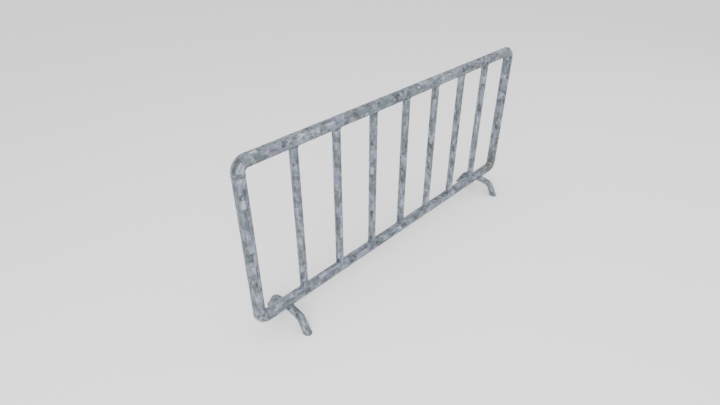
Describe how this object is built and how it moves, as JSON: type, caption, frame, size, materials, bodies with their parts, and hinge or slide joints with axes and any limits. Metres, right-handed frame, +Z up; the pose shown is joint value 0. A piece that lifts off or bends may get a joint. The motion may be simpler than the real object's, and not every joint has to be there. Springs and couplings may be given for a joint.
{
  "type": "steel pedestrian barrier",
  "caption": "Free-standing galvanised steel pedestrian barrier: round-cornered tube frame with upright round bars and arched bridge feet.",
  "frame": {"origin": "on the ground, midway along and across the barrier", "axes": "+X along the barrier, +Y through it, +Z up"},
  "size_m": [2.303, 0.3596, 1.0627],
  "materials": {
    "frame_zinc": "hot-dip galvanised, mottled",
    "bar_zinc": "hot-dip galvanised, mottled",
    "foot_zinc": "hot-dip galvanised, mottled, worn near the ground",
    "pad_zinc": "hot-dip galvanised, scuffed",
    "weld_zinc": "hot-dip galvanised weld bead"
  },
  "bodies": {
    "root": {"top_rail": "frame_zinc", "bottom_rail": "frame_zinc", "left_post": "frame_zinc", "right_post": "frame_zinc", "top_left_elbow": "frame_zinc", "top_right_elbow": "frame_zinc", "bottom_left_elbow": "frame_zinc", "bottom_right_elbow": "frame_zinc", "bar_1": "bar_zinc", "bar_2": "bar_zinc", "bar_3": "bar_zinc", "bar_4": "bar_zinc", "bar_5": "bar_zinc", "bar_6": "bar_zinc", "bar_7": "bar_zinc", "left_foot": "foot_zinc", "right_foot": "foot_zinc", "left_foot_pads": "pad_zinc", "right_foot_pads": "pad_zinc", "top_left_corner_welds": "weld_zinc", "top_right_corner_welds": "weld_zinc", "bottom_left_corner_welds": "weld_zinc", "bottom_right_corner_welds": "weld_zinc", "top_bar_welds": "weld_zinc", "bottom_bar_welds": "weld_zinc", "left_foot_weld": "weld_zinc", "right_foot_weld": "weld_zinc", "left_pad_welds": "weld_zinc", "right_pad_welds": "weld_zinc"}
  },
  "joints": []
}
